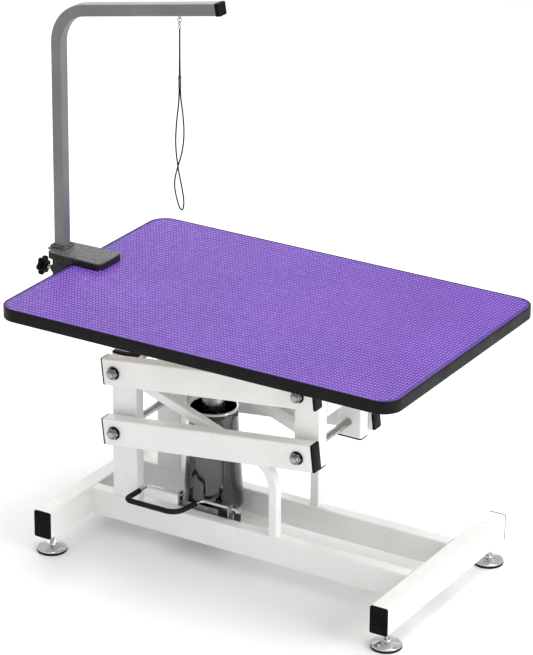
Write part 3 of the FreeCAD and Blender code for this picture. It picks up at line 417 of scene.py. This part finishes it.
class Shape:
    """Vertices and faces of one piece, in millimetres."""

    def __init__(self):
        self.verts, self.faces = [], []

    def skin(self, rings, place=Matrix(), caps=True, closed=False):
        """Quads between successive rings of equal length; closed joins the last ring to the first."""
        base, count = len(self.verts), len(rings[0])
        for ring in rings:
            self.verts += [place @ Vector(point) for point in ring]
        rows = len(rings) if closed else len(rings) - 1
        for row in range(rows):
            low, high = base + row * count, base + (row + 1) % len(rings) * count
            for i in range(count):
                j = (i + 1) % count
                self.faces.append((low + i, low + j, high + j, high + i))
        if caps and not closed:
            self.faces.append(tuple(reversed(range(base, base + count))))
            last = base + (len(rings) - 1) * count
            self.faces.append(tuple(range(last, last + count)))
        return self

    def lathe(self, profile, place=Matrix(), segments=48, closed=False):
        """Profile points (radius, height) turned about Z of place."""
        rings = [circle(max(radius, 0.01), height, segments) for radius, height in profile]
        return self.skin(rings, place, closed=closed)

    def prism(self, outline, low, high, round_low=0.0, round_high=0.0, place=Matrix(), steps=3):
        """An extruded outline with rounded lower and upper edges."""
        rings = []
        for step in range(steps + 1):
            angle = math.pi / 2 * step / steps
            rings.append(at_height(inset(outline, round_low * (1 - math.sin(angle)) + 1e-4),
                                   low + round_low * (1 - math.cos(angle))))
        for step in range(steps + 1):
            angle = math.pi / 2 * (1 - step / steps)
            rings.append(at_height(inset(outline, round_high * (1 - math.sin(angle)) + 1e-4),
                                   high - round_high * (1 - math.cos(angle))))
        return self.skin(rings, place)

    def torus(self, major, minor, place=Matrix(), around=40, across=14):
        ring = [(major + minor * math.cos(2 * math.pi * i / across), minor * math.sin(2 * math.pi * i / across))
                for i in range(across)]
        return self.lathe(ring, place, around, closed=True)

    def nut(self, place, flats, thick, bore, segments=72):
        """A hexagon nut with turned chamfers and a countersunk bore."""
        face = flats / 2 * 0.96
        slope = math.tan(math.radians(30))
        low, high = [], []
        for i in range(segments):
            angle = 2 * math.pi * i / segments
            reach = flats / 2 / math.cos((angle % (math.pi / 3)) - math.pi / 6)
            drop = (reach - face) * slope
            low.append((reach * math.cos(angle), reach * math.sin(angle), drop))
            high.append((reach * math.cos(angle), reach * math.sin(angle), thick - drop))
        rings = [circle(bore, 0.6, segments), circle(bore + 0.6, 0, segments),
                 circle(face, 0, segments), low, high,
                 circle(face, thick, segments), circle(bore + 0.6, thick, segments),
                 circle(bore, thick - 0.6, segments)]
        return self.skin(rings, place, closed=True)

    def threaded(self, place, radius, length, pitch, depth, dome=1.2, segments=32):
        """A threaded stud drawn as ring grooves, with a domed end."""
        profile = [(radius, 0)]
        height = pitch
        while height < length - pitch:
            profile += [(radius, height - pitch * 0.4), (radius - depth, height),
                        (radius, height + pitch * 0.4)]
            height += pitch
        profile += [(radius, length - dome), (radius * 0.8, length - dome * 0.3),
                    (radius * 0.4, length), (0, length)]
        return self.lathe(profile, place, segments)

    def made(self, name, slot_name, body, replaced=(), sharp=32, material=None):
        """The finished piece: its material picked by slot name, its body, and the CAD nodes it stands for,
        which are hidden.
        """
        mesh = bpy.data.meshes.new(name)
        mesh.from_pydata([vert * MM for vert in self.verts], [], self.faces)
        mesh.update()
        mesh.shade_smooth()
        mesh.set_sharp_from_angle(angle=math.radians(sharp))
        mesh.materials.append(MATERIALS[material or slot_name])
        obj = bpy.data.objects.new(name, mesh)
        bpy.context.scene.collection.objects.link(obj)
        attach(obj, body)
        if replaced:
            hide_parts(*replaced)
        return obj


def middle(node):
    """Centre of a CAD node's box, in millimetres."""
    low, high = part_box(node)
    return (Vector(low) + Vector(high)) * 500


# ---------------------------------------------------------------- noose
NOOSE_X, CLAMP_Y = -160.4, 5.0
swivel_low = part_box("clip_swivel")[0][2] / MM
NOOSE_POINTS = [
    (0.9, -1.5, swivel_low), (0.9, -1.5, 975), (-6, -2.4, 925), (-9.5, -3, 870), (-2.5, -3, 817), (7, -3, 778),
    (11, -2.5, 753), (10, -2, 738), (5.5, 0, 728.5), (-2, 1.5, 731.5), (-9, 2.5, 748), (-17, 3, 781),
    (-9, 3, 816), (4, 3, 853), (9, 3, 897), (4.4, 3, 945), (-0.9, 1.5, 978), (-0.9, 1.5, swivel_low)]
CORD_RADIUS = 1.5
curve = bpy.data.curves.new("noose_cord_line", "CURVE")
curve.dimensions = "3D"
curve.bevel_depth = CORD_RADIUS * MM
curve.bevel_resolution = 5
curve.resolution_u = 10
curve.use_fill_caps = True
spline = curve.splines.new("NURBS")
spline.points.add(len(NOOSE_POINTS) - 1)
noose_line = [Vector((NOOSE_X + dx, CLAMP_Y + dy, z)) * MM for dx, dy, z in NOOSE_POINTS]
for point, place in zip(spline.points, noose_line):
    point.co = (*place, 1)
spline.order_u = 3
spline.use_endpoint_u = True
curve.materials.append(MATERIALS["cord_fabric"])
cord = bpy.data.objects.new("noose_cord_line", curve)
bpy.context.scene.collection.objects.link(cord)
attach(cord, "noose")
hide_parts("noose_cord")

clip_low, clip_high = (Vector(corner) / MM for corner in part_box("noose_clip"))
HOOK_RING, HOOK_WIRE = 4.6, 1.2
hook_z = clip_high.z - HOOK_RING - HOOK_WIRE
hook_place = turned_to((NOOSE_X, CLAMP_Y, hook_z), Y)
clip = Shape().torus(HOOK_RING, HOOK_WIRE, hook_place)
barrel = [(1.3, 0), (2.0, 0.2), (2.4, 0.8), (2.4, 1.3), (2.0, 1.6),
          (2.0, 4.6), (2.4, 4.9), (2.3, 5.6), (1.5, 6.2)]
clip.lathe(barrel, turned_to((NOOSE_X, CLAMP_Y, clip_low.z), Z), 32)
clip.made("snap_hook", "zinc_steel", "noose_clip", ["noose_clip"])
thumb = Shape().lathe([(0.5, 0), (0.9, 0.3), (0.9, 2.2), (1.3, 2.5), (1.3, 3.1), (0.9, 3.4)],
                      turned_to((NOOSE_X, CLAMP_Y - 1.2, middle("clip_trigger").z), -Y), 20)
thumb.made("snap_hook_thumb_stud", "zinc_steel", "clip_trigger", ["clip_trigger"])
ring = Shape().torus(2.9, 1.1, turned_to((NOOSE_X, CLAMP_Y, swivel_low + 4.0), Y))
ring.lathe([(1.0, 0), (1.0, 2.0), (0.7, 2.2)], turned_to((NOOSE_X, CLAMP_Y, swivel_low + 6.9), Z), 20)
ring.made("snap_hook_swivel_ring", "zinc_steel", "noose", ["clip_swivel"])

slider_low, slider_high = (Vector(corner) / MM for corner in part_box("noose_slider"))
slider_turn = Matrix.Translation((NOOSE_X, CLAMP_Y, 0)) @ Matrix.Rotation(math.radians(121), 4, "Z")
outer, slot_edge = rectangle(9.6, 7, 2.6), rectangle(7.6, 4.4, 1.2)
slider = Shape()
low, high = slider_low.z, slider_high.z
slider.skin([at_height(slot_edge, low + 0.5), at_height(inset(slot_edge, -0.4), low),
             at_height(inset(outer, 0.8), low),
             at_height(inset(outer, 0.2), low + 0.3), at_height(outer, low + 1),
             at_height(inset(outer, 0.5), low + 4),
             at_height(inset(outer, 0.5), high - 4), at_height(outer, high - 1),
             at_height(inset(outer, 0.2), high - 0.3),
             at_height(inset(outer, 0.8), high), at_height(inset(slot_edge, -0.4), high),
             at_height(slot_edge, high - 0.5)], slider_turn, closed=True)
slider_piece = slider.made("noose_slide_lock", "slider_grey", "noose_slider", ["noose_slider"])


# ---------------------------------------------------------------- table top
TABLE_LENGTH, TABLE_WIDTH, TABLE_TOP, TABLE_X, CORNER = 920, 612, 570, 53.4, 42
TRIM_DEPTH, TRIM_WALL = 27, 3
MAT_LOW, MAT_SKIN = TABLE_TOP - 3, TABLE_TOP - 0.9
top_outline = rectangle(TABLE_LENGTH, TABLE_WIDTH, CORNER, 14, (TABLE_X, 0))
trim_low = TABLE_TOP - TRIM_DEPTH
trim_profile = [(TRIM_WALL, trim_low), (0.9, trim_low), (0.25, trim_low + 0.7), (0, trim_low + 3),
                (0, TABLE_TOP - 3.4),
                (0.1, TABLE_TOP - 1.6), (0.5, TABLE_TOP - 0.5), (1.2, TABLE_TOP), (2.1, TABLE_TOP - 0.1),
                (2.7, TABLE_TOP - 0.7), (TRIM_WALL, TABLE_TOP - 1.6)]
trim = Shape().skin([at_height(inset(top_outline, depth), z) for depth, z in trim_profile], closed=True)
trim.made("edge_trim", "black_plastic", "table", ["table_trim"], material="edge_band")

mat = Shape()
mat_outline = inset(top_outline, TRIM_WALL)
mat.skin([at_height(mat_outline, MAT_LOW), at_height(mat_outline, MAT_SKIN - 0.4),
          at_height(inset(mat_outline, 0.5), MAT_SKIN)])
LOZENGE_PITCH = (7.3, 11.0)
LOZENGE = (3.4, 5.1)
LOZENGE_EDGE = 5.0
half_x, half_y = TABLE_LENGTH / 2 - TRIM_WALL - LOZENGE_EDGE, TABLE_WIDTH / 2 - TRIM_WALL - LOZENGE_EDGE
inner_corner = CORNER - TRIM_WALL - LOZENGE_EDGE
rows = int(half_y / LOZENGE_PITCH[1])
columns = int(half_x / LOZENGE_PITCH[0])
for row in range(-rows, rows + 1):
    for column in range(-columns, columns + 1):
        x = column * LOZENGE_PITCH[0]
        y = row * LOZENGE_PITCH[1]
        over_x, over_y = abs(x) - (half_x - inner_corner), abs(y) - (half_y - inner_corner)
        if abs(x) > half_x or (over_x > 0 and over_y > 0 and math.hypot(over_x, over_y) > inner_corner):
            continue
        a, b = LOZENGE
        foot = [(a, 0), (0, b), (-a, 0), (0, -b)]
        base = len(mat.verts)
        mat.verts += [Vector((TABLE_X + x + u, y + v, MAT_SKIN - 0.05)) for u, v in foot]
        mat.verts += [Vector((TABLE_X + x + u * 0.6, y + v * 0.6, TABLE_TOP)) for u, v in foot]
        for i in range(4):
            j = (i + 1) % 4
            mat.faces.append((base + i, base + j, base + 4 + j, base + 4 + i))
        mat.faces.append((base + 4, base + 5, base + 6, base + 7))
mat.made("table_mat_with_lozenges", "mat_rubber", "table", ["table_mat"], sharp=20)


# ---------------------------------------------------------------- clamp of the grooming arm
ARM_X = -454.4
PLATE_TOP, PLATE_LOW = 585, 570
plate = rounded([(-331, -38), (-331, 48), (-470.4, 43), (-470.4, -33)], [15, 13, 14, 14], 8)
casting = Shape().prism(plate, PLATE_LOW, PLATE_TOP, 0.8, 2.6, steps=4)


def square_ring(half, radius, height):
    return at_height(rectangle(2 * half, 2 * half, radius, 5, (ARM_X, CLAMP_Y)), height)


collar = [(25.5, 9, 584.8), (22.2, 6, 585.3), (19.4, 4, 586.2), (17.6, 3, 587.6), (17.2, 2.4, 589.4),
          (18.9, 2.4, 589.9), (19.0, 2.4, 592.4), (18.5, 2.2, 593), (16.6, 2.4, 593), (15.9, 1.8, 592.2),
          (15.5, 1.6, 586), (13.2, 1, 582), (13.0, 1, 500.5), (14.0, 2, 500), (15.8, 2.6, 500), (16.5, 3, 501),
          (16.5, 3, 572)]
casting.skin([square_ring(*row) for row in collar], caps=False)
back = rounded([(-408.1, -13), (-408.1, 23), (-440, 23), (-440, -13)], [4, 4, 2, 2], 4)
casting.prism(back, 482, 574, 2, 1, steps=3)
jaw = rounded([(-361, -15), (-361, 25), (-434, 25), (-434, -15)], [9, 9, 2, 2], 6)
casting.prism(jaw, 482, 500, 2, 2, steps=3)
casting.lathe([(8.5, 0), (9.6, 0.6), (10, 1.4), (10, 9)], turned_to((-479.4, CLAMP_Y, 534), X), 32)
casting.lathe([(6.3, 0), (11, 0), (11.6, 0.6), (11.6, 3)], turned_to((-389, CLAMP_Y, 480), Z), 36)
casting.made("clamp_casting_body", "black_casting", "table", ["clamp_casting"], sharp=38)

KNOB_X, KNOB_RADIUS, KNOB_LOBES = -513.4, 21, 6
lobed = []
for i in range(96):
    angle = 2 * math.pi * i / 96
    wave = (0.5 + 0.5 * math.cos(KNOB_LOBES * angle)) ** 0.7
    reach = KNOB_RADIUS - 5.2 * (1 - wave)
    lobed.append((reach * math.cos(angle), reach * math.sin(angle)))
knob_place = turned_to((KNOB_X, CLAMP_Y, 534), X)
knob = Shape().prism(lobed, 3, 14, 3.2, 2.4, knob_place, steps=5)
knob.lathe([(12, 13), (10, 16), (8.4, 19), (8.2, 22), (7.4, 22.4)], knob_place, 48)
knob.lathe([(12.5, 3.6), (11.0, 0.6), (9.6, 0), (5.0, 0), (4.6, 0.6)], knob_place, 48)
knob.made("lock_knob_grip", "black_plastic", "lock_knob", ["lock_knob"])
stud = Shape().threaded(turned_to((KNOB_X + 22, CLAMP_Y, 534), X), 5, 24.1, 1.5, 0.5, 0.6)
stud.made("lock_knob_stud", "zinc_steel", "lock_knob")

screw_x = -389
screw = Shape().threaded(turned_to((screw_x, CLAMP_Y, 425), Z), 6, 111, 2.5, 0.8, 1.0)
screw.lathe([(7.5, 0), (9, 1), (9, 13), (7.5, 14)], turned_to((screw_x, CLAMP_Y, 419), Z), 40)
screw.lathe([(3.5, 0), (3.5, 70)], turned_to((screw_x - 35, CLAMP_Y, 426), X), 24)
for step in (-35, 35):
    ball = [(5.5 * math.sin(math.pi * i / 12), -5.5 * math.cos(math.pi * i / 12)) for i in range(13)]
    screw.lathe(ball, turned_to((screw_x + step, CLAMP_Y, 426), X), 28)
screw.made("clamp_screw_with_handle", "zinc_steel", "clamp_screw", ["clamp_screw"])
pad = Shape().lathe([(9, 0), (13, 0), (14, 1), (14, 5.2), (13.4, 6), (0, 6)],
                    turned_to((screw_x, CLAMP_Y, 536.7), Z), 48)
pad.made("clamp_swivel_pad", "zinc_steel", "clamp_pad", ["clamp_pad"])


# ---------------------------------------------------------------- pump cover and gland
PUMP_X = -75.4
LOW, HIGH, WIDE, NARROW, WALL = 90, 315, 64, 51, 2
cover = [(WIDE - 9, LOW + 0.5), (WIDE - 6, LOW), (WIDE - 3, LOW + 0.6), (WIDE - 1, LOW + 2.6), (WIDE, LOW + 6)]
cover += [(WIDE + (NARROW - WIDE) * step / 12, LOW + 6 + (HIGH - 9 - LOW - 6) * step / 12)
          for step in range(1, 13)]
for step in range(13):
    angle = math.radians(-110 + 290 * step / 12)
    cover.append((NARROW - 0.2 + 3.0 * math.cos(angle), HIGH - 3.2 + 3.0 * math.sin(angle)))
cover += [(NARROW - WALL, HIGH - 12), (WIDE - WALL, LOW + 7), (WIDE - WALL - 2, LOW + 3)]
pump_place = Matrix.Translation((PUMP_X, 0, 0))
Shape().lathe(cover, pump_place, 96, closed=True).made("pump_cover", "chrome", "base", ["pump_skirt"],
                                                      material="chrome_painted_dark_reflection")
RIM = 3.0
rim = Shape().torus(NARROW - 0.2, RIM + 0.05, Matrix.Translation((PUMP_X, 0, HIGH - RIM - 0.2)), 96, 18)
liner = [(NARROW - WALL - 0.2, HIGH - 4), (NARROW - WALL - 0.2, HIGH - 60), (NARROW - WALL - 1.2, HIGH - 60),
         (NARROW - WALL - 1.2, HIGH - 4)]
rim.lathe(liner, pump_place, 96, closed=True)
rim.made("pump_cover_rim", "chrome", "base")


# ---------------------------------------------------------------- axles, washers and nuts
ARM_OUT, RAIL_FACE, AXLE = 137.5, 100, 8
for side, body in (("left", "base"), ("right", "table")):
    centre = middle(f"{side}_axles")
    low, high = (Vector(corner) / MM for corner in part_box(f"{side}_axles"))
    heights = (low.z + AXLE, high.z - AXLE)
    axles, washers, nuts = Shape(), Shape(), Shape()
    for z in heights:
        axles.lathe([(AXLE, -148), (AXLE, 148)], turned_to((centre.x, 0, z), Y), 40)
        for sign in (-1, 1):
            way = Y * sign

            def spot(y):
                return turned_to((centre.x, sign * y, z), way)

            axles.threaded(spot(147), AXLE - 0.2, 6.6, 2, 0.5, 2.6, 40)
            washers.lathe([(AXLE, 0), (13.9, 0), (14.5, 0.5), (14.5, 1.8), (14.0, 2.2), (AXLE, 2.2)],
                          spot(ARM_OUT + 0.3), 48, closed=True)
            washers.lathe([(AXLE, 0), (14.4, 0), (15, 0.6), (15, 6.6), (14.4, 7.2), (AXLE, 7.2)],
                          spot(RAIL_FACE), 48, closed=True)
            nuts.nut(spot(ARM_OUT + 2.5), 22, 7.4, AXLE)
            nuts.lathe([(9.8, 7.3), (9.8, 8.6), (9.2, 9.6), (8.3, 10), (AXLE, 9.4), (AXLE, 7.3)],
                       spot(ARM_OUT + 2.5), 48, closed=True)
            washers.lathe([(9.8, 7.35), (10.6, 7.35), (10.6, 8.2), (9.8, 8.2)],
                          spot(ARM_OUT + 2.5), 48, closed=True)
    axles.made(f"{side}_pivot_axles", "zinc_steel", body, [f"{side}_axles"], material="pivot_steel")
    washers.made(f"{side}_pivot_washers", "zinc_steel", body, [f"{side}_axle_washers"], material="black_steel")
    nuts.made(f"{side}_pivot_nuts", "zinc_steel", body, [f"{side}_axle_nuts"], material="pivot_steel")


# ---------------------------------------------------------------- feet
FOOT, STUD, RAIL_LOW = 32, 5, 42
cones, pads, studs, nuts = Shape(), Shape(), Shape(), Shape()
for base_x in (-339, 466):
    for base_y in (-218, 218):
        place = Matrix.Translation((base_x, base_y, 0))
        cones.lathe([(FOOT - 4, 5), (FOOT - 1, 5.1), (FOOT - 0.2, 6), (FOOT - 0.2, 7.4),
                     (FOOT - 1, 8.6), (FOOT - 3, 9.6),
                     (FOOT - 9, 11.4), (FOOT - 14, 13.4), (14, 15), (11.4, 16), (10.4, 17),
                     (10, 18.4), (9.2, 19), (0, 19)],
                    place, 72)
        pads.lathe([(FOOT - 2, 0), (FOOT - 0.6, 0.4), (FOOT, 1.4), (FOOT, 3.8), (FOOT - 0.8, 5), (0, 5)],
                   place, 72)
        studs.threaded(Matrix.Translation((base_x, base_y, 18.8)), STUD, 23, 1.5, 0.6, 0.4)
        nuts.nut(Matrix.Translation((base_x, base_y, RAIL_LOW - 8)), 17, 8, STUD)
cones.made("levelling_foot_cones", "chrome", "base", ["foot_cones"])
pads.made("levelling_foot_pads", "rubber", "base", ["foot_pads"])
studs.made("levelling_foot_studs", "zinc_steel", "base", ["foot_studs"])
nuts.made("levelling_foot_nuts", "zinc_steel", "base", ["foot_lock_nuts"])


# ---------------------------------------------------------------- tube caps
CAP, CAP_ROUND = 4, 1.2
TILT = math.radians(6.8)
caps = Shape()
for base_x in (-339, 466):
    for sign in (-1, 1):
        place = turned_to((base_x, sign * 249, 72), Y * sign)
        caps.prism(rectangle(60, 40, 4) if abs(place[0][0]) < 0.5 else rectangle(40, 60, 4),
                   0, CAP, 0, CAP_ROUND, place)
for sign in (-1, 1):
    caps.prism(rectangle(60, 30, 4), 0, CAP, 0, CAP_ROUND, Matrix.Translation((-232.6, sign * 85, 426)))
caps.made("base_frame_caps", "black_plastic", "base", ["base_tube_caps"])
upright = Shape()
right_x = middle("front_upright").x
for sign in (-1, 1):
    upright.prism(rectangle(60, 30, 4), 281, 285, CAP_ROUND, 0, Matrix.Translation((right_x, sign * 85, 0)))
upright.made("upright_end_caps", "black_plastic", "table", ["upright_caps"])
arm_turn = Matrix.Rotation(-TILT, 4, "Y")
for level, pivot_z in (("lower", 264.5), ("upper", 400)):
    ends = Shape()
    for sign in (-1, 1):
        pivot = Matrix.Translation((-232.6, sign * 122.5, pivot_z)) @ arm_turn
        for start, way in ((-26, -1), (476.7, 1)):
            face = Matrix(((0, 0, way, start), (0, 1, 0, 0), (-way, 0, 0, 0), (0, 0, 0, 1)))
            ends.prism(rectangle(60, 30, 4), 0, CAP, 0, CAP_ROUND, pivot @ face)
    ends.made(f"{level}_arm_end_caps", "black_plastic", f"{level}_arms", [f"{level}_arm_caps"])


# ---------------------------------------------------------------- stage, light and camera
def build_stage():
    """A pale, plain floor."""
    material = Shader("stage_white", roughness=0.9)
    material.colour(material.ramp(material.noise(3, 3), (0.3, (0.90, 0.90, 0.90)), (0.7, (0.92, 0.92, 0.92))))
    half = 16.0
    mesh = bpy.data.meshes.new("stage_floor")
    mesh.from_pydata([(-half, -half, 0), (half, -half, 0), (half, half, 0), (-half, half, 0)],
                     [], [(0, 1, 2, 3)])
    mesh.materials.append(material.material)
    floor = bpy.data.objects.new("stage_floor", mesh)
    bpy.context.scene.collection.objects.link(floor)


CAMERA_TARGET = Vector((0.0513, 0.0, 0.517))
CAMERA_AZIMUTH = 31.02
CAMERA_ELEVATION = 22.80
CAMERA_ROLL = 0.5
CAMERA_DISTANCE = 6.673
CAMERA_LENS = 221.1


def build_camera():
    """The camera looks at the target from its azimuth and elevation, with a small roll."""
    azimuth, elevation = math.radians(CAMERA_AZIMUTH), math.radians(CAMERA_ELEVATION)
    away = Vector((-math.sin(azimuth) * math.cos(elevation), math.cos(azimuth) * math.cos(elevation),
                   -math.sin(elevation)))
    data = bpy.data.cameras.new("camera")
    data.sensor_fit = "HORIZONTAL"
    data.sensor_width = 36
    data.lens = CAMERA_LENS
    data.clip_end = 100
    camera = bpy.data.objects.new("camera", data)
    bpy.context.scene.collection.objects.link(camera)
    level = away.to_track_quat("-Z", "Y").to_matrix().to_4x4()
    turn = level @ Matrix.Rotation(math.radians(CAMERA_ROLL), 4, "Z")
    camera.matrix_world = Matrix.Translation(CAMERA_TARGET - away * CAMERA_DISTANCE) @ turn
    bpy.context.scene.camera = camera


def area_light(name, place, target, size, power, tint=(1, 1, 1)):
    data = bpy.data.lights.new(name, "AREA")
    data.shape = "RECTANGLE"
    data.size, data.size_y = size
    data.energy = power
    data.color = tint
    light = bpy.data.objects.new(name, data)
    bpy.context.scene.collection.objects.link(light)
    light.location = place
    light.rotation_euler = (Vector(target) - Vector(place)).to_track_quat("-Z", "Y").to_euler()


def build_lights():
    lit_point = (0.05, 0, 0.45)
    area_light("key", (0.9, -3.4, 3.4), lit_point, (2.6, 2.2), 8)
    area_light("fill", (4.2, -0.4, 1.9), lit_point, (2.4, 2.6), 108)
    area_light("top", (0.2, 0.3, 4.4), lit_point, (3.4, 2.8), 128)
    area_light("back", (-2.6, 3.0, 2.6), lit_point, (2.4, 2.0), 34)
    world = bpy.data.worlds.new("world")
    world.use_nodes = True
    background = world.node_tree.nodes["Background"]
    background.inputs["Color"].default_value = (1, 1, 1, 1)
    background.inputs["Strength"].default_value = 0.68
    bpy.context.scene.world = world
    bpy.context.scene.view_settings.view_transform = "Standard"


build_camera()
build_stage()
build_lights()

low, high = cad_bounds
